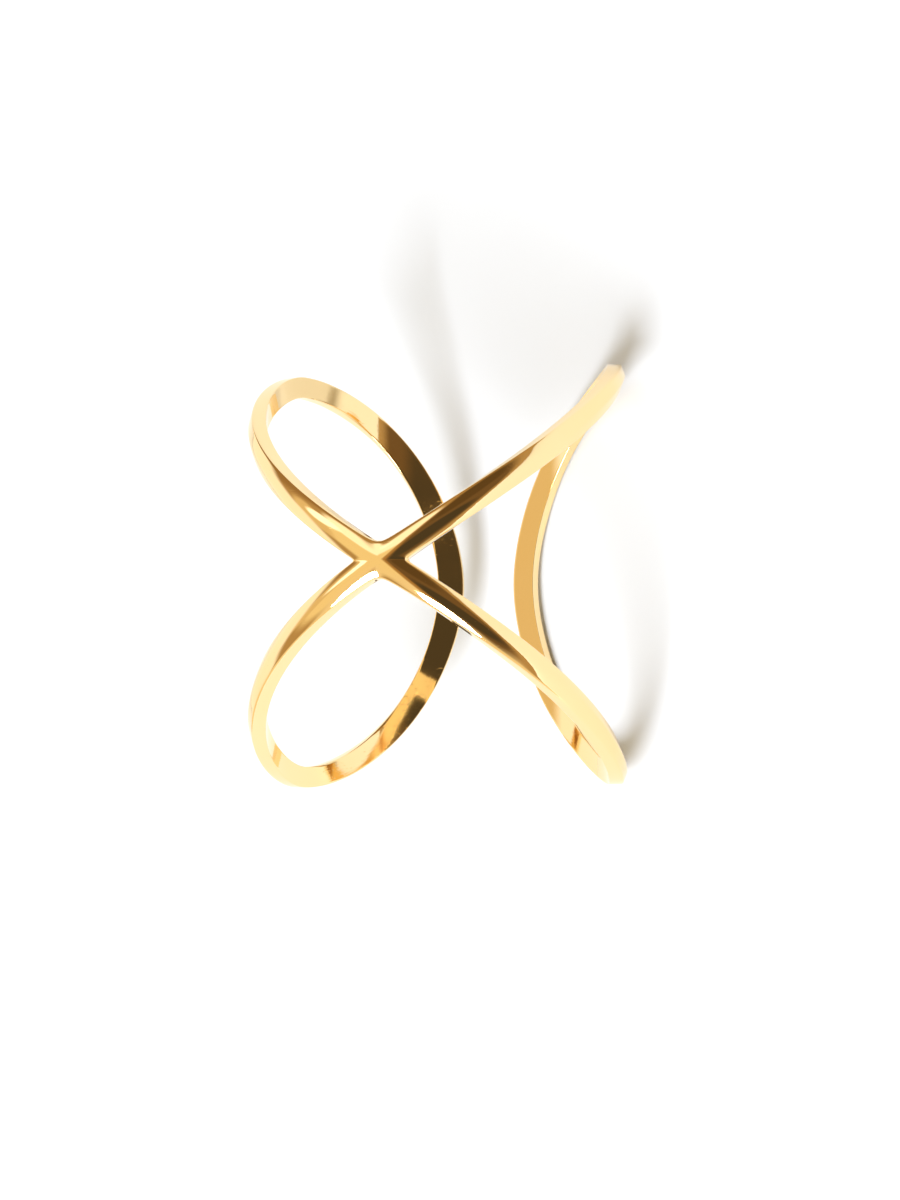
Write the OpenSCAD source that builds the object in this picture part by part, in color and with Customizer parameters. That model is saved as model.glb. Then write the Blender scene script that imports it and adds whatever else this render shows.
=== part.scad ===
// Crossover ring: one band bent into a figure of eight and wrapped round the finger.
// It is drawn lying on its rounded side, as it rests: the finger hole runs along X,
// Z is up, the floor is Z = 0. All sizes are in millimetres and degrees.

/* [Finger hole] */
// width of the round finger hole
finger_width = 17.0; // [14:0.1:22]
// from here to the closed ends the finger side runs on flat, as a turn from the crossing
flat_from = 155; // [150:0.5:165]

/* [Crossing] */
// slope of the arms where they cross, measured off the line round the finger
arm_slope = 32; // [24:0.5:42]
// how long each arm keeps that slope before it bends
arm_run = 6.4; // [3:0.1:8]
// width of each arm at the crossing
cross_band = 1.26; // [0.9:0.02:2.2]
// rounding in the two corners above and below the crossing
tall_corner = 0.18; // [0.02:0.02:0.6]
// rounding in the two corners beside the crossing
side_corner = 0.1; // [0.02:0.02:0.6]

/* [Side lobes] */
// how far round the finger each lobe stands tallest, from the crossing
lobe_turn = 110.5; // [95:0.5:125]
// height of the middle of the band there, above the middle of the ring
lobe_rise = 9.95; // [6:0.05:12]
// roundness of the lobe on the side of the crossing
lobe_pull_front = 3.1; // [2:0.1:7]
// roundness of the lobe on the side of the back
lobe_pull_back = 5.1; // [2:0.1:6]
// width of the band on the lobe
lobe_band = 1.06; // [0.8:0.02:2.2]

/* [Back] */
// how far round the finger each loop closes, from the crossing
end_turn = 167; // [150:0.5:174]
// roundness of the closed end
end_pull = 4.1; // [2:0.1:7]
// width of the band at the closed end
end_band = 1.28; // [0.8:0.02:2]

/* [Band section] */
// thickness under the crest of the band
crest_thick = 0.9; // [0.7:0.02:1.8]
// thickness at the two edges of the band
edge_thick = 0.7; // [0.3:0.02:1.2]
// height of the rounded corners along the band's edges
edge_round = 0.15; // [0.04:0.01:0.2]
// softness of the crest along the arms, as a share of half the width
crest_soft = 1; // [0.1:0.05:1.5]
// softness of the crest where the arms cross
cross_soft = 2.5; // [0.1:0.1:3]

/* [Resting] */
// which side it lies on, as a turn from the crossing
rest_turn = 148; // [135:1:155]
// how much thinner the band is where it rests
rest_dip = 0.2; // [0.05:0.01:0.3]
// how far the thinner stretch reaches to each side of that, in degrees
rest_angle = 22; // [15:1:30]
// depth of the small polished flats it rests on
rest_flat = 0.04; // [0.01:0.01:0.1]

/* [Hidden] */

hole_r = finger_width / 2;
axis_up = hole_r + crest_thick - rest_dip - rest_flat;
sink = 0.3;
front_steps = 32;
back_steps = 22;
hole_steps = 155;
rows = front_steps + back_steps;
blend = 0.24;

// points across the band: first number runs from -1 to 1 across the width,
// second says how the height is found: 0 under the hole wall, 1 low edge, 2 high edge, 3 dome
across = [
  [0.92, 0], [1, 1], [1, 2], [0.92, 3], [0.72, 3], [0.46, 3], [0.2, 3], [0, 3],
  [-0.2, 3], [-0.46, 3], [-0.72, 3], [-0.92, 3], [-1, 2], [-1, 1], [-0.92, 0], [0, 0]];
count = len(across);

// a smooth curve from a to d that leaves towards b and arrives from c, and its direction
function bend(a, b, c, d, t) =
  pow(1 - t, 3) * a + 3 * pow(1 - t, 2) * t * b + 3 * (1 - t) * t * t * c + pow(t, 3) * d;
function bend_way(a, b, c, d, t) =
  3 * (pow(1 - t, 2) * (b - a) + 2 * (1 - t) * t * (c - b) + t * t * (d - c));

// corner values of the middle line, unrolled: [distance round the hole, height]
lobe_at = hole_r * lobe_turn * PI / 180;
end_at = hole_r * end_turn * PI / 180;
p0 = [0, 0];
p1 = arm_run * [cos(arm_slope), sin(arm_slope)];
p2 = [lobe_at - lobe_pull_front, lobe_rise];
p3 = [lobe_at, lobe_rise];
p4 = [lobe_at + lobe_pull_back, lobe_rise];
p5 = [end_at, end_pull];
p6 = [end_at, 0];

// the middle line: place 0 is the crossing, 1 the lobe and 2 the closed end
function middle(s) = s <= 1 ? bend(p0, p1, p2, p3, s) : bend(p3, p4, p5, p6, s - 1);
function heading(s) = s <= 1 ? bend_way(p0, p1, p2, p3, s) : bend_way(p3, p4, p5, p6, s - 1);
function left_of(s) = let (h = heading(s)) [-h[1], h[0]] / norm(h);
function ease(x) = let (c = min(1, max(0, x))) c * c * (3 - 2 * c);
function half_band(s) = s <= 1
  ? (cross_band + (lobe_band - cross_band) * ease(s)) / 2
  : (lobe_band + (end_band - lobe_band) * ease(s - 1)) / 2;
function fade(s) = s < blend ? pow(1 - s / blend, 2) : 0;

// the two edges of the band: each starts in a corner of the crossing, on the lines of symmetry
half_cross = cross_band / 2;
tall_v = half_cross / cos(arm_slope);
side_u = half_cross / sin(arm_slope);
tall_shift = half_cross * tan(arm_slope) / (3 * arm_run);
side_shift = half_cross / tan(arm_slope) / (3 * arm_run);
function raw_edge(s, shift, way) =
  let (q = s + shift * fade(s)) middle(q) + way * half_band(q) * left_of(q);
tall_error = [0, tall_v] - raw_edge(0, tall_shift, 1);
side_error = [side_u, 0] - raw_edge(0, side_shift, -1);
function soften(x, round) = sqrt(x * x + round * round) - x;
function tall_edge(s) =
  let (p = raw_edge(s, tall_shift, 1) + tall_error * fade(s))
  p + (s <= 1 ? [0, soften(max(0, p[0] * tan(arm_slope)), tall_corner * fade(s))] : [0, 0]);
function side_edge(s) =
  let (p = raw_edge(s, side_shift, -1) + side_error * fade(s))
  p + (s <= 1 ? [soften(max(0, p[1] / tan(arm_slope)), side_corner * fade(s)), 0] : [0, 0]);

// height of the band's outside over the hole wall, at w from -1 to 1 across it
function softness(s) = crest_soft + (cross_soft - crest_soft) * pow(1 - ease(s / 0.35), 1);
function dip(turn) =
  let (x = min(1, abs(turn - rest_turn) / rest_angle)) rest_dip * pow(cos(90 * x), 2);
function dome(s, w, turn) =
  let (r = softness(s), drop = (sqrt(w * w + r * r) - r) / (sqrt(1 + r * r) - r))
  crest_thick - (crest_thick - edge_thick) * drop - dip(turn);
function rise(s, k, turn) =
  across[k][1] == 0 ? -sink :
  across[k][1] == 1 ? edge_round :
  across[k][1] == 2 ? edge_thick - edge_round - dip(turn) : dome(s, across[k][0], turn);

// one point of the upper right quarter, unrolled: [round the hole, height, thickness]
function quarter_point(s, k) =
  let (w = across[k][0], m = middle(s), e = w >= 0 ? tall_edge(s) : side_edge(s),
       p = m + abs(w) * (e - m))
  [p[0], p[1], rise(s, k, p[0] / hole_r * 180 / PI)];

// the same point rolled round the hole and laid down to rest, in the quarter given by two signs
function laid_point(p, sx, sy) =
  let (turn = sx * p[0] / hole_r * 180 / PI - rest_turn, r = hole_r + p[2])
  [sy * p[1], r * sin(turn), max(0, axis_up - r * cos(turn))];

function place(i) = i <= front_steps ? i / front_steps : 1 + (i - front_steps) / back_steps;
signs = [[1, 1], [-1, 1], [-1, -1], [1, -1]];
quarter_points = [for (i = [0:rows]) for (k = [0:count - 1]) quarter_point(place(i), k)];
ring_points = [for (q = signs) for (p = quarter_points) laid_point(p, q[0], q[1])];

// the quarters share the points on their common lines
function own(q, i, k) =
  i == rows ? (signs[q][0] > 0 ? 0 : 1) :
  i > 0 ? q :
  across[k][0] == 0 ? 0 :
  across[k][0] > 0 ? (signs[q][1] > 0 ? 0 : 3) : (signs[q][0] > 0 ? 0 : 1);
function number(q, i, k) = (own(q, i, k % count) * (rows + 1) + i) * count + k % count;
ring_faces = [
  for (q = [0:3]) for (i = [0:rows - 1]) for (k = [0:count - 1])
    let (a = number(q, i, k), b = number(q, i + 1, k),
         c = number(q, i + 1, k + 1), d = number(q, i, k + 1),
         same = signs[q][0] * signs[q][1] > 0)
    each (same ? [[a, b, c], [a, c, d]] : [[a, c, b], [a, d, c]])];

// the hole's outline as it lies: round up to flat_from on both sides, then two flats that meet
function hole_point(r, turn) = r * [cos(turn - rest_turn), sin(turn - rest_turn)];
hole_outline = concat(
  [for (i = [0:hole_steps]) hole_point(hole_r, flat_from * (2 * i / hole_steps - 1))],
  [hole_point(hole_r / cos(180 - flat_from), 180)]);

module crossover_band() {
  color([0.93, 0.72, 0.35])
  difference() {
    polyhedron(points = ring_points, faces = ring_faces, convexity = 10);
    translate([0, 0, axis_up])
      rotate([0, 90, 0])
        linear_extrude(height = 2 * (lobe_rise + lobe_band), center = true)
          polygon(hole_outline);
  }
}

crossover_band();
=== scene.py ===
# Crossover ring lying on its rounded side, high polish gold.
import math
import bpy
import numpy as np
from mathutils import Matrix, Vector


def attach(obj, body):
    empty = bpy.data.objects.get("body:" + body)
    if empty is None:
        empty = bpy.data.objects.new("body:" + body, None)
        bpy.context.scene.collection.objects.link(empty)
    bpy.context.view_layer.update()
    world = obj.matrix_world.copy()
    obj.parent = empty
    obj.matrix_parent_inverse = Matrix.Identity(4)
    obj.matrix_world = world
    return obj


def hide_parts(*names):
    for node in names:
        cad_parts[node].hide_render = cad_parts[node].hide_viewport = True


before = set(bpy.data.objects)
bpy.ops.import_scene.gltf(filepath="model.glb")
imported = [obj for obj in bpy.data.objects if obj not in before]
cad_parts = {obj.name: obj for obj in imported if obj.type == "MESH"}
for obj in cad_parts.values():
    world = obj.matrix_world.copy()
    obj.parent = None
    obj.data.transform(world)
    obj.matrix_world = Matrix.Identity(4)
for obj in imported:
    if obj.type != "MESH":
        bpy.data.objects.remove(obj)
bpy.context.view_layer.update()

millimetre = 0.001
skyward = Vector((0, 0, 1))


# the band: sizes in millimetres and degrees. They repeat the solid's, except for the finer
# crest, the finer edges on the finger side and the small step in from the solid's skin.
# places along the band are 0 at the crossing, 1 at the lobe and 2 at the closed end
band = {
    "fingerWidth": 17.0,       # width of the finger hole
    "armSlope": 32.0,          # slope of the arms at the crossing
    "armRun": 6.4,             # how long an arm keeps that slope
    "crossBand": 1.26,         # band width at the crossing
    "tallCorner": 0.18,        # rounding above and below the crossing
    "sideCorner": 0.1,         # rounding beside the crossing
    "blend": 0.24,             # place where an arm's edges have left the crossing's corners
    "lobeTurn": 110.5,         # where each lobe stands tallest, as a turn from the crossing
    "lobeRise": 9.95,          # height of the middle line there
    "lobePullFront": 3.1,      # roundness of the lobe on the side of the crossing
    "lobePullBack": 5.1,       # roundness of the lobe on the side of the back
    "lobeBand": 1.06,          # band width on the lobe
    "endTurn": 167.0,          # where each loop closes, as a turn from the crossing
    "endPull": 4.1,            # roundness of the closed end
    "endBand": 1.28,           # band width at the closed end
    "crestThick": 0.9,         # thickness under the crest
    "edgeThick": 0.7,          # thickness at the edges
    "edgeRound": 0.15,         # rounding of the outer edges
    "edgeDrop": 1.3,           # how far down the side that rounding ends, in edgeRounds
    "domeShare": 0.88,         # share of half the width that the dome covers
    "innerRound": 0.05,        # rounding of the edges on the finger side
    "crossSoft": 2.5,          # softness of the crest at the crossing
    "crestSoft": 1.0,          # softness of the crest along the arms
    "lobeSoft": 0.12,          # softness of the crest over the lobes and the closed ends
    "crossReach": 0.35,        # place where the crossing's softness has gone
    "lobeReach": (0.2, 0.65),  # places between which the lobe's softness comes in
    "flatFrom": 155.0,         # turn from which the finger side runs on flat to the closed end
    "skinIn": 0.006,           # how far the dome stays under the solid's
    "restTurn": 148.0,         # the side it lies on, as a turn from the crossing
    "restDip": 0.2,            # how much thinner the band is there
    "restReach": 22.0,         # how far that stretch reaches to each side, in degrees
    "restFlat": 0.04,          # depth of the small flats it rests on
    "stepsFront": 150,         # grid steps from the crossing to the lobe
    "stepsBack": 100,          # grid steps from the lobe to the closed end
    "domePoints": 14,          # grid points from the crest to the edge of the dome
    "domeCrowd": 1.5,          # above 1, they stand closer at the crest
    "fingerPoints": 9,         # grid points across half of the finger side
}
quarterSigns = ((1, 1), (-1, 1), (-1, -1), (1, -1))    # way round the hole, way along it


def bendCurve(a, b, c, d, t):
    # cubic curve: (1-t)^3 a + 3(1-t)^2 t b + 3(1-t)t^2 c + t^3 d, for a column of t
    return (1 - t) ** 3 * a + 3 * (1 - t) ** 2 * t * b + 3 * (1 - t) * t * t * c + t ** 3 * d


def bendWay(a, b, c, d, t):
    # its direction: 3(1-t)^2 (b-a) + 6(1-t)t (c-b) + 3t^2 (d-c)
    return 3 * ((1 - t) ** 2 * (b - a) + 2 * (1 - t) * t * (c - b) + t * t * (d - c))


def bendCorner(a, b, c, t):
    # rounded corner from a to c round b: (1-t)^2 a + 2(1-t)t b + t^2 c
    return (1 - t) ** 2 * a + 2 * (1 - t) * t * b + t * t * c


def easeStep(x):
    # 3x^2 - 2x^3 between 0 and 1, flat outside
    c = np.clip(x, 0, 1)
    return c * c * (3 - 2 * c)


def soften(x, r):
    # height of a rounded corner over its two straight sides: sqrt(x^2 + r^2) - x
    return np.sqrt(x * x + r * r) - x


def bandLines(v, s):
    # unrolled middle line and both edges at the places s.
    # middle = two cubic curves; edge = middle +- half the width along the normal, moved so
    # that at s = 0 it starts in a corner of the crossing: (0, w/2cos) above, (w/2sin, 0) beside
    holeR = v["fingerWidth"] / 2
    slope = math.radians(v["armSlope"])
    lobeAt = holeR * math.radians(v["lobeTurn"])
    endAt = holeR * math.radians(v["endTurn"])
    lobeTop = v["lobeRise"]
    front = [np.array(p) for p in (
        (0.0, 0.0), (v["armRun"] * math.cos(slope), v["armRun"] * math.sin(slope)),
        (lobeAt - v["lobePullFront"], lobeTop), (lobeAt, lobeTop))]
    back = [np.array(p) for p in (
        (lobeAt, lobeTop), (lobeAt + v["lobePullBack"], lobeTop),
        (endAt, v["endPull"]), (endAt, 0.0))]

    def onCurve(curve, q):
        # the front curve up to place 1 and the back curve from there
        c = q[:, None]
        return np.where(c <= 1, curve(*front, np.minimum(c, 1)), curve(*back, np.maximum(c - 1, 0)))

    def normal(q):
        way = onCurve(bendWay, q)
        way = way / np.linalg.norm(way, axis=1)[:, None]
        return np.stack([-way[:, 1], way[:, 0]], axis=1)

    def halfBand(q):
        first = v["crossBand"] + (v["lobeBand"] - v["crossBand"]) * easeStep(q)
        second = v["lobeBand"] + (v["endBand"] - v["lobeBand"]) * easeStep(q - 1)
        return np.where(q <= 1, first, second) / 2

    def rawEdge(shift, side, place, share):
        q = place + shift * share
        return onCurve(bendCurve, q) + side * halfBand(q)[:, None] * normal(q)

    fade = np.where(s < v["blend"], (1 - s / v["blend"]) ** 2, 0)
    half = v["crossBand"] / 2
    edges = []
    for side, shift, corner in ((1, half * math.tan(slope), (0.0, half / math.cos(slope))),
                                (-1, half / math.tan(slope), (half / math.sin(slope), 0.0))):
        shift = shift / (3 * v["armRun"])
        miss = np.array(corner) - rawEdge(shift, side, np.zeros(1), np.ones(1))[0]
        edges.append(rawEdge(shift, side, s, fade) + miss * fade[:, None])
    tall, low = edges
    early = s <= 1
    tall[:, 1] += early * soften(np.maximum(0, tall[:, 0] * math.tan(slope)), v["tallCorner"] * fade)
    low[:, 0] += early * soften(np.maximum(0, low[:, 1] / math.tan(slope)), v["sideCorner"] * fade)
    return onCurve(bendCurve, s), tall, low


def bandSection(v, s, turn):
    # height of the skin over the hole wall, one row per place and one column per point across.
    # dome = crest - (crest - edge) (sqrt(w^2+r^2) - r) / (sqrt(1+r^2) - r) - dip, where r is the
    # softness and dip = restDip cos(90 x)^2, x running from 0 at restTurn to 1 at restReach.
    # then a rounded shoulder, a straight edge, a rounded inner corner and the finger side,
    # which follows the hole and then its tangent: gap = radius (1 / cos(turn - flatFrom) - 1)
    crossShare = 1 - easeStep(s / v["crossReach"])
    lobeFrom, lobeTo = v["lobeReach"]
    lobeShare = easeStep((s - lobeFrom) / (lobeTo - lobeFrom))
    soft = v["crestSoft"] + (v["crossSoft"] - v["crestSoft"]) * crossShare
    soft = soft + (v["lobeSoft"] - v["crestSoft"]) * lobeShare
    x = np.minimum(1, np.abs(turn - v["restTurn"]) / v["restReach"])
    dip = v["restDip"] * np.cos(np.pi / 2 * x) ** 2
    past = np.radians(np.maximum(0, np.abs(turn) - v["flatFrom"]))
    gap = v["fingerWidth"] / 2 * (1 / np.cos(past) - 1)

    def dome(w):
        drop = (np.sqrt(w * w + soft * soft) - soft) / (np.sqrt(1 + soft * soft) - soft)
        return v["crestThick"] - (v["crestThick"] - v["edgeThick"]) * drop - dip - v["skinIn"]

    domeEdge = v["domeShare"]
    edgeTop = v["edgeThick"] - dip
    edgeHigh = edgeTop - v["edgeRound"] * v["edgeDrop"]
    edgeLow = gap + v["innerRound"]
    innerEdge = 1 - 2 * v["innerRound"] / v["crossBand"]
    across, height = [], []
    for w in domeEdge * np.linspace(0, 1, v["domePoints"]) ** v["domeCrowd"]:    # dome
        across.append(w)
        height.append(dome(w))
    for t in (0.2, 0.4, 0.6, 0.8, 1.0):                    # rounded shoulder
        across.append(bendCorner(domeEdge, 1, 1, t))
        height.append(bendCorner(dome(domeEdge), edgeTop, edgeHigh, t))
    for t in (0.35, 0.7):                                  # straight edge
        across.append(1.0)
        height.append((1 - t) * edgeHigh + t * edgeLow)
    for t in (0.0, 0.25, 0.5, 0.75, 1.0):                  # rounded corner on the finger side
        across.append(bendCorner(1, 1, innerEdge, t))
        height.append(gap + (1 - t) ** 2 * v["innerRound"])
    for w in np.linspace(innerEdge, 0, v["fingerPoints"])[1:]:                   # finger side
        across.append(w)
        height.append(gap)
    w = np.array(across)
    h = np.stack(height, axis=1)
    # the other half of the section, walked back from the finger side to the crest
    return np.concatenate([w, -w[-2:0:-1]]), np.concatenate([h, h[:, -2:0:-1]], axis=1)


def quarterOwners(rows, w):
    # numbers of the grid points of four quarters, with the shared rows pointing at one owner:
    # the first row lies on the lines through the crossing, the last one on the closed ends
    count = len(w)
    number = np.arange(4 * rows * count).reshape(4, rows, count)
    onMiddle = np.isclose(w, 0)
    for quarter, (sx, sy) in enumerate(quarterSigns):
        upper = number[0 if sy > 0 else 3, 0]
        level = number[0 if sx > 0 else 1, 0]
        number[quarter, 0] = np.where(onMiddle, np.arange(count), np.where(w > 0, upper, level))
        number[quarter, -1] = number[0 if sx > 0 else 1, -1]
    return number


def gridFaces(number):
    # squares between neighbouring rows and columns, turned over in the mirrored quarters
    faces = []
    for quarter, (sx, sy) in enumerate(quarterSigns):
        a, b = number[quarter, :-1], number[quarter, 1:]
        c, d = np.roll(b, -1, axis=1), np.roll(a, -1, axis=1)
        corners = [a, b, c, d] if sx * sy > 0 else [a, d, c, b]
        faces.append(np.stack(corners, axis=2).reshape(-1, 4))
    return np.concatenate(faces)


def bandGrid(v):
    # the quarter grid P(s, w) = middle + |w| (edge - middle), lifted by the section, rolled
    # round the hole (turn = distance / radius) and mirrored into four quarters. With it come
    # each point's place on the band, for the polishing lines, and the faces
    holeR = v["fingerWidth"] / 2
    axisUp = holeR + v["crestThick"] - v["restDip"] - v["restFlat"]
    frontPlaces = np.linspace(0, 1, v["stepsFront"] + 1)
    backPlaces = 1 + np.linspace(0, 1, v["stepsBack"] + 1)[1:]
    s = np.concatenate([frontPlaces, backPlaces])
    middle, tall, low = bandLines(v, s)
    w, _ = bandSection(v, s, np.zeros(len(s)))          # the same at every turn
    edge = np.where((w >= 0)[None, :, None], tall[:, None, :], low[:, None, :])
    flat = middle[:, None, :] + np.abs(w)[None, :, None] * (edge - middle[:, None, :])
    turns = np.degrees(flat[:, :, 0] / holeR)
    heights = np.stack([bandSection(v, s, turns[:, k])[1][:, k] for k in range(len(w))], axis=1)
    r = holeR + heights
    quarters = []
    for sx, sy in quarterSigns:
        angle = np.radians(sx * turns - v["restTurn"])
        laid = [sy * flat[:, :, 1], r * np.sin(angle), axisUp - r * np.cos(angle)]
        quarters.append(np.stack(laid, axis=2).reshape(-1, 3))
    points = np.concatenate(quarters)
    points[:, 2] = np.maximum(points[:, 2], 0)          # the small flats on the floor
    # a place on the band is (way along, way across, height over the hole wall)
    steps = np.linalg.norm(np.diff(middle, axis=0), axis=1)
    across = np.sign(w)[None, :] * np.linalg.norm(flat - middle[:, None, :], axis=2)
    along = np.broadcast_to(np.concatenate([[0], np.cumsum(steps)])[:, None], across.shape)
    places = np.concatenate([np.stack([sx * along, across, heights], axis=2).reshape(-1, 3)
                             for sx, _ in quarterSigns])
    return points, places, gridFaces(quarterOwners(len(s), w))


def bandMesh(v, name):
    # the grid as one closed mesh, without the points that the quarters' shared rows leave over
    points, places, faces = bandGrid(v)
    used, where = np.unique(faces, return_inverse=True)
    faces = where.reshape(-1, 4)
    mesh = bpy.data.meshes.new(name)
    mesh.vertices.add(len(used))
    mesh.vertices.foreach_set("co", (points[used] * millimetre).ravel())
    mesh.loops.add(faces.size)
    mesh.loops.foreach_set("vertex_index", faces.ravel().astype(np.int32))
    mesh.polygons.add(len(faces))
    mesh.polygons.foreach_set("loop_start", np.arange(0, faces.size, 4, dtype=np.int32))
    mesh.polygons.foreach_set("loop_total", np.full(len(faces), 4, dtype=np.int32))
    mesh.update(calc_edges=True)
    mesh.validate()
    mesh.polygons.foreach_set("use_smooth", np.ones(len(faces), dtype=bool))
    mesh.attributes.new("bandPlace", "FLOAT_VECTOR", "POINT")
    mesh.attributes["bandPlace"].data.foreach_set("vector", (places[used] * millimetre).ravel())
    piece = bpy.data.objects.new(name, mesh)
    bpy.context.scene.collection.objects.link(piece)
    return piece


# the metal: tones are linear colours, sizes in metres. From and To are the values of a
# pattern between which it comes in. Height is how high its marks would stand in full, and
# Share is how much of that they do
goldFinish = {
    "tone": (1.0, 0.77, 0.415),        # polished yellow gold
    "warmTone": (1.0, 0.73, 0.355),    # a little deeper, in soft patches
    "toneSize": 0.006,                 # spread of the patches
    "polishRough": 0.035,              # mirror polish
    "hazeRough": 0.09,                 # where the polish is duller
    "hazeSize": 0.0021,                # spread of the duller places
    "hazeFrom": 0.42,
    "hazeTo": 0.78,
    "waveShare": 0.007,                # slow waves left by the polishing wheel
    "waveSize": 0.0032,
    "waveHeight": 0.004,
    "lineShare": 0.08,                 # fine polishing lines along the band
    "lineWidth": 0.00007,
    "lineStretch": 0.02,               # below 1, the lines are longer along the band
    "lineHeight": 0.00001,
    "scratchShare": 0.04,              # a few hair scratches of handling
    "scratchWidth": 0.00012,
    "scratchTurn": (0.5, 0.35, 0.6),   # which way they run, in radians about each axis
    "scratchStretch": (1.0, 0.06, 0.35),   # along each axis, as for the lines
    "scratchFrom": 0.68,
    "scratchTo": 0.76,
    "scratchHeight": -0.00002,         # below zero, they are cut in
    "pitShare": 0.02,                  # tiny pits and dust
    "pitSize": 0.00016,
    "pitSpacing": 4,                   # distance between pits, in pit sizes
    "pitFrom": 0.05,
    "pitTo": 0.16,
    "pitHeight": 0.00002,
}


def addNode(tree, kind, spot, **settings):
    # a new node at a spot of the node editor, with its settings
    node = tree.nodes.new(kind)
    node.location = spot
    for key, value in settings.items():
        setattr(node, key, value)
    return node


def noiseNode(tree, spot, source, size, detail):
    # noise with features of one size, on the given coordinates
    noise = addNode(tree, "ShaderNodeTexNoise", spot)
    noise.inputs["Scale"].default_value = 1 / size
    noise.inputs["Detail"].default_value = detail
    tree.links.new(source, noise.inputs["Vector"])
    return noise


def rangeNode(tree, spot, source, low, high, first=0.0, last=1.0, **settings):
    # spreads low..high of the source over first..last
    spread = addNode(tree, "ShaderNodeMapRange", spot, **settings)
    for name, value in (("From Min", low), ("From Max", high), ("To Min", first), ("To Max", last)):
        spread.inputs[name].default_value = value
    tree.links.new(source, spread.inputs["Value"])
    return spread


def mappingNode(tree, spot, source, scale, turn=(0.0, 0.0, 0.0)):
    # turns and stretches the coordinates of a pattern
    mapping = addNode(tree, "ShaderNodeMapping", spot)
    mapping.inputs["Rotation"].default_value = turn
    mapping.inputs["Scale"].default_value = scale
    tree.links.new(source, mapping.inputs["Vector"])
    return mapping


def mixNode(tree, spot, share, first, second):
    # a colour between two, by the share of the second. A colour mix has its share in socket
    # 0, its colours in 6 and 7 and its result in 2
    mix = addNode(tree, "ShaderNodeMix", spot, data_type="RGBA")
    mix.inputs[6].default_value = (*first, 1)
    mix.inputs[7].default_value = (*second, 1)
    tree.links.new(share, mix.inputs[0])
    return mix


def goldMaterial(v):
    # gold mirror: colour drifts between two tones, roughness between polish and haze, and four
    # bumps are stacked: waves, polishing lines along the band, hair scratches and pits
    gold = bpy.data.materials.new("polishedGold")
    gold.use_nodes = True
    tree = gold.node_tree
    tree.nodes.clear()
    link = tree.links.new
    out = addNode(tree, "ShaderNodeOutputMaterial", (1200, 0))
    skin = addNode(tree, "ShaderNodeBsdfPrincipled", (900, 0))
    skin.inputs["Metallic"].default_value = 1.0
    link(skin.outputs[0], out.inputs[0])
    place = addNode(tree, "ShaderNodeTexCoord", (-900, 0)).outputs["Object"]
    bandPlace = addNode(tree, "ShaderNodeAttribute", (-900, -300), attribute_name="bandPlace")

    drift = noiseNode(tree, (-500, 300), place, v["toneSize"], detail=2.0)
    tones = mixNode(tree, (100, 300), drift.outputs[0], v["tone"], v["warmTone"])
    link(tones.outputs[2], skin.inputs["Base Color"])

    haze = noiseNode(tree, (-500, 60), place, v["hazeSize"], detail=4.0)
    dull = rangeNode(tree, (-200, 60), haze.outputs[0], v["hazeFrom"], v["hazeTo"],
                     v["polishRough"], v["hazeRough"])
    link(dull.outputs[0], skin.inputs["Roughness"])

    waves = noiseNode(tree, (-500, -180), place, v["waveSize"], detail=1.0)
    drawn = mappingNode(tree, (-700, -300), bandPlace.outputs["Vector"], (v["lineStretch"], 1.0, 1.0))
    lines = noiseNode(tree, (-500, -300), drawn.outputs[0], v["lineWidth"], detail=2.0)
    turned = mappingNode(tree, (-700, -480), place, v["scratchStretch"], v["scratchTurn"])
    hairs = noiseNode(tree, (-500, -480), turned.outputs[0], v["scratchWidth"], detail=1.0)
    fewHairs = rangeNode(tree, (-200, -480), hairs.outputs[0], v["scratchFrom"], v["scratchTo"])
    pits = addNode(tree, "ShaderNodeTexVoronoi", (-500, -660))
    pits.inputs["Scale"].default_value = 1 / (v["pitSize"] * v["pitSpacing"])
    link(place, pits.inputs["Vector"])
    fewPits = rangeNode(tree, (-200, -660), pits.outputs["Distance"], v["pitFrom"], v["pitTo"])

    last = None
    for index, (source, mark) in enumerate(((waves, "wave"), (lines, "line"),
                                            (fewHairs, "scratch"), (fewPits, "pit"))):
        bump = addNode(tree, "ShaderNodeBump", (100 + 180 * index, -300 - 100 * index))
        bump.invert = v[mark + "Height"] < 0
        bump.inputs["Strength"].default_value = v[mark + "Share"]
        bump.inputs["Distance"].default_value = abs(v[mark + "Height"])
        link(source.outputs[0], bump.inputs["Height"])
        if last:
            link(last.outputs[0], bump.inputs["Normal"])
        last = bump
    link(last.outputs[0], skin.inputs["Normal"])
    return gold


gold = goldMaterial(goldFinish)
ring = bandMesh(band, "crossoverBand")
ring.data.materials.append(gold)
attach(ring, "root")
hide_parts("crossover_band")
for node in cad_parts.values():        # the hidden solid gets the same metal
    node.data.materials.clear()
    node.data.materials.append(gold)
print("ring built:", len(ring.data.polygons), "faces")


# the stage: a pale floor, a warm room with a dark front, and one soft lamp, in metres.
# directions are degrees: around 0 is the camera's side, 90 is +X, and height is above the floor
stage = {
    "floorSize": 2.4,
    "floorPoints": 9,                      # grid points along each side
    "floorTone": (0.765, 0.84, 0.965),     # evens out the warm light of the room
    "floorRough": 0.9,                     # matt
    "floorShine": 0.1,                     # with little gloss
    "roomTone": (0.49, 0.32, 0.145),       # walls, warm and dimmer than the floor
    "lampAround": -61.0,
    "lampHeight": 45.5,
    "lampAim": (0, 0, 0.009),              # about the middle of the ring
    "lampFar": 1.4,                        # distance from there
    "lampSize": 0.66,                      # width of its round face
    "lampPower": 22.3,                     # watts
}
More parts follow.
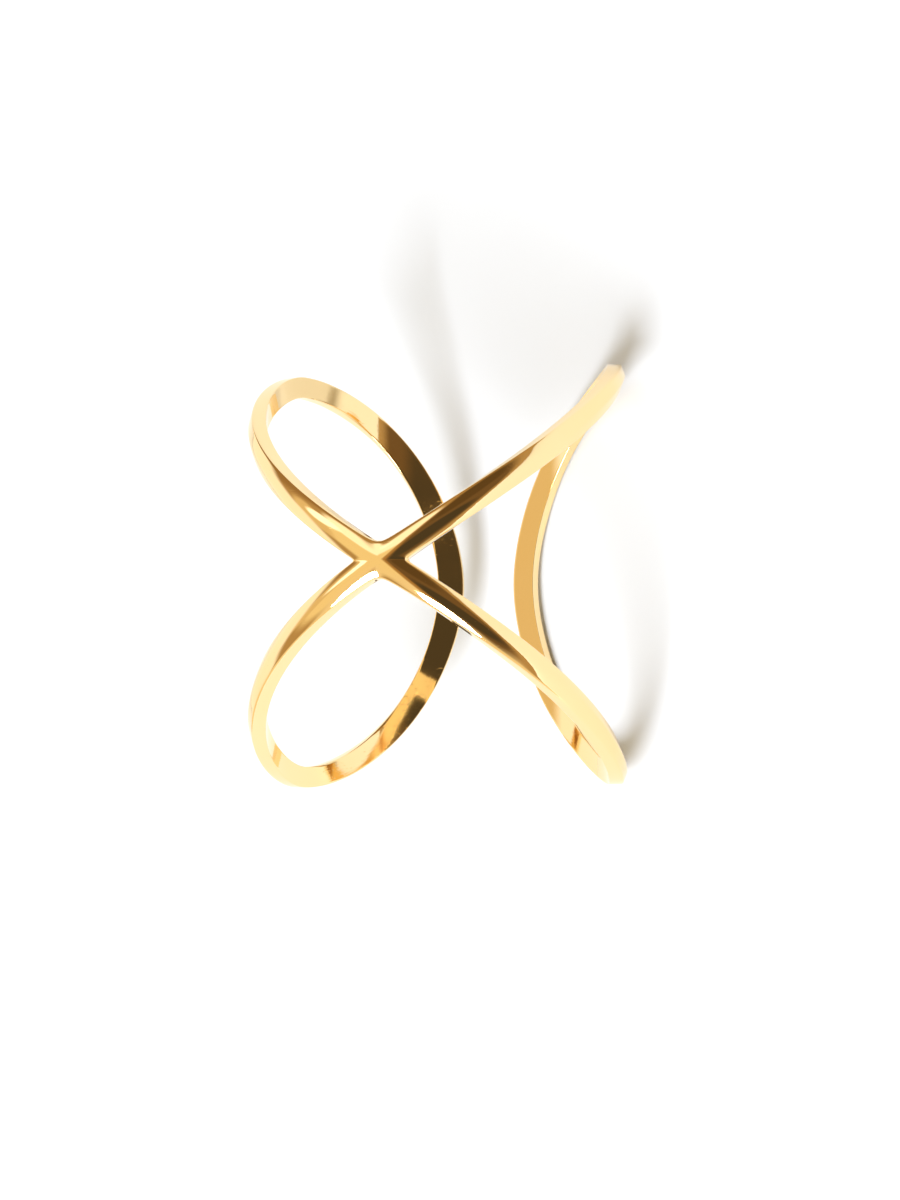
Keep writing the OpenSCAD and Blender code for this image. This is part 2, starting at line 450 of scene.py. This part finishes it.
# soft ovals of the room that the ring mirrors, each laid over the ones before it: where its
# middle is, how far it reaches to the side and up in degrees, and how soft its rim is
roomPatches = [
    {"around": 0, "height": 90, "wide": 24, "tall": 24, "soft": 0.5, "tone": (0.94, 0.77, 0.45)},
    {"around": 158, "height": 60, "wide": 18, "tall": 10, "soft": 0.5, "tone": (0.80, 0.61, 0.34)},
    {"around": 114, "height": 22, "wide": 30, "tall": 20, "soft": 0.4, "tone": (0.34, 0.20, 0.08)},
    {"around": 182, "height": 4, "wide": 38, "tall": 41, "soft": 0.2, "tone": (1.15, 1.12, 1.08)},
    {"around": -105, "height": 12, "wide": 40, "tall": 24, "soft": 0.4, "tone": (0.95, 0.80, 0.56)},
    {"around": 66, "height": 57, "wide": 15, "tall": 12, "soft": 0.45, "tone": (1.3, 1.25, 1.15)},
    {"around": 122, "height": 64, "wide": 12, "tall": 6, "soft": 0.6, "tone": (1.6, 1.6, 1.6)},
    {"around": -58, "height": 38, "wide": 24, "tall": 26, "soft": 0.5, "tone": (0.92, 0.76, 0.50)},
    {"around": 0, "height": 57, "wide": 38, "tall": 9, "soft": 0.6, "tone": (0.45, 0.25, 0.085)},
    {"around": 10, "height": 33, "wide": 42, "tall": 25, "soft": 0.25, "tone": (0.17, 0.10, 0.042)},
    {"around": -12, "height": 35, "wide": 16, "tall": 19, "soft": 0.5, "tone": (0.075, 0.056, 0.032)},
    {"around": 44, "height": 31, "wide": 12, "tall": 14, "soft": 0.6, "tone": (0.12, 0.07, 0.026)},
]


def makeFloor(v):
    # a square grid of points at height zero, much wider than the view
    n = v["floorPoints"]
    across = np.linspace(-v["floorSize"] / 2, v["floorSize"] / 2, n)
    gx, gy = np.meshgrid(across, across)
    points = np.stack([gx, gy, np.zeros_like(gx)], axis=2).reshape(-1, 3)
    a = (np.arange(n - 1)[:, None] * n + np.arange(n - 1)[None, :]).ravel()
    mesh = bpy.data.meshes.new("paleFloor")
    mesh.from_pydata(points.tolist(), [], np.stack([a, a + 1, a + n + 1, a + n], axis=1).tolist())
    floor = bpy.data.objects.new("paleFloor", mesh)
    bpy.context.scene.collection.objects.link(floor)
    paper = bpy.data.materials.new("palePaper")
    paper.use_nodes = True
    skin = paper.node_tree.nodes["Principled BSDF"]
    skin.inputs["Base Color"].default_value = (*v["floorTone"], 1)
    skin.inputs["Roughness"].default_value = v["floorRough"]
    skin.inputs["Specular IOR Level"].default_value = v["floorShine"]
    mesh.materials.append(paper)


def roomWay(around, height):
    # a direction from its two angles
    a, h = math.radians(around), math.radians(height)
    return Vector((math.sin(a) * math.cos(h), -math.cos(a) * math.cos(h), math.sin(h)))


def patchShare(tree, unit, patch, row):
    # how much of a patch shows in the direction d. With its axes side, up and front:
    # radius = length(d.side / sin(wide), d.up / sin(tall), behind), where behind is a large
    # number behind the patch and 0 in front; it is full inside 1 and gone at 1 + soft
    link = tree.links.new
    front = roomWay(patch["around"], patch["height"])
    side = front.cross(skyward).normalized()
    up = side.cross(front)
    farBehind = -100 * front
    parts = addNode(tree, "ShaderNodeCombineXYZ", (-200, row))
    for slot, axis in enumerate((side / math.sin(math.radians(patch["wide"])),
                                 up / math.sin(math.radians(patch["tall"])), farBehind)):
        dot = addNode(tree, "ShaderNodeVectorMath", (-500, row - 60 * slot), operation="DOT_PRODUCT")
        dot.inputs[1].default_value = axis
        link(unit, dot.inputs[0])
        source = dot.outputs["Value"]
        if axis is farBehind:
            behind = addNode(tree, "ShaderNodeMath", (-350, row - 180), operation="MAXIMUM")
            behind.inputs[1].default_value = 0.0
            link(source, behind.inputs[0])
            source = behind.outputs[0]
        link(source, parts.inputs[slot])
    radius = addNode(tree, "ShaderNodeVectorMath", (0, row), operation="LENGTH")
    link(parts.outputs[0], radius.inputs[0])
    share = rangeNode(tree, (200, row), radius.outputs["Value"], 1.0, 1.0 + patch["soft"],
                      first=1.0, last=0.0, interpolation_type="SMOOTHSTEP")
    return share.outputs[0]


def makeSurround(v, patches):
    # the room is one tone with the soft oval patches laid over it in turn
    world = bpy.data.worlds.new("warmRoom")
    bpy.context.scene.world = world
    world.use_nodes = True
    tree = world.node_tree
    tree.nodes.clear()
    link = tree.links.new
    out = addNode(tree, "ShaderNodeOutputWorld", (1600, 0))
    light = addNode(tree, "ShaderNodeBackground", (1400, 0))
    link(light.outputs[0], out.inputs[0])
    place = addNode(tree, "ShaderNodeTexCoord", (-900, 0))
    unit = addNode(tree, "ShaderNodeVectorMath", (-700, 0), operation="NORMALIZE")
    link(place.outputs["Generated"], unit.inputs[0])
    below = None
    for index, patch in enumerate(patches):
        row = -300 * index
        share = patchShare(tree, unit.outputs[0], patch, row)
        mixed = mixNode(tree, (500 + 120 * index, row), share, v["roomTone"], patch["tone"])
        if below:
            link(below.outputs[2], mixed.inputs[6])
        below = mixed
    link(below.outputs[2], light.inputs["Color"])


def makeLamp(v):
    # a round soft lamp that looks at the ring
    lamp = bpy.data.lights.new("softLamp", "AREA")
    lamp.shape = "DISK"
    lamp.size = v["lampSize"]
    lamp.energy = v["lampPower"]
    holder = bpy.data.objects.new("softLamp", lamp)
    way = roomWay(v["lampAround"], v["lampHeight"])
    holder.location = Vector(v["lampAim"]) + way * v["lampFar"]
    holder.rotation_euler = way.to_track_quat("Z", "Y").to_euler()
    bpy.context.scene.collection.objects.link(holder)


cameraView = {
    "aim": (-1.319, -0.409, 8.671),     # millimetres, the point in the middle of the picture
    "distance": 205.15,                 # millimetres
    "azimuth": -5.28,                   # degrees, 0 looks along +Y
    "elevation": 40.448,                # degrees above the floor
    "roll": 86.713,                     # degrees, the picture is turned about a quarter
    "lens": 110.12,                     # millimetres, as is the next
    "sensorWide": 24.0,
    "clipNear": 0.005,                  # metres, as is the next
    "clipFar": 10.0,
}


def makeCamera(v):
    # it looks ahead = (-sin turn cos lift, cos turn cos lift, -sin lift) at its aim, and its
    # up = upright cos roll + level sin roll
    turn, lift, roll = (math.radians(v[k]) for k in ("azimuth", "elevation", "roll"))
    ahead = Vector((-math.sin(turn) * math.cos(lift), math.cos(turn) * math.cos(lift), -math.sin(lift)))
    level = ahead.cross(skyward).normalized()
    upright = level.cross(ahead)
    up = upright * math.cos(roll) + level * math.sin(roll)
    right = ahead.cross(up)
    where = (Vector(v["aim"]) - ahead * v["distance"]) * millimetre
    data = bpy.data.cameras.new("pictureCamera")
    data.sensor_fit = "HORIZONTAL"
    data.sensor_width = v["sensorWide"]
    data.lens = v["lens"]
    data.clip_start = v["clipNear"]
    data.clip_end = v["clipFar"]
    camera = bpy.data.objects.new("pictureCamera", data)
    turned = Matrix((right, up, -ahead)).transposed().to_4x4()
    camera.matrix_world = Matrix.Translation(where) @ turned
    bpy.context.scene.collection.objects.link(camera)
    bpy.context.scene.camera = camera


makeFloor(stage)
makeSurround(stage, roomPatches)
makeLamp(stage)
makeCamera(cameraView)
bpy.context.scene.view_settings.view_transform = "Standard"
bpy.context.scene.view_settings.look = "None"
print("stage, light and camera set")
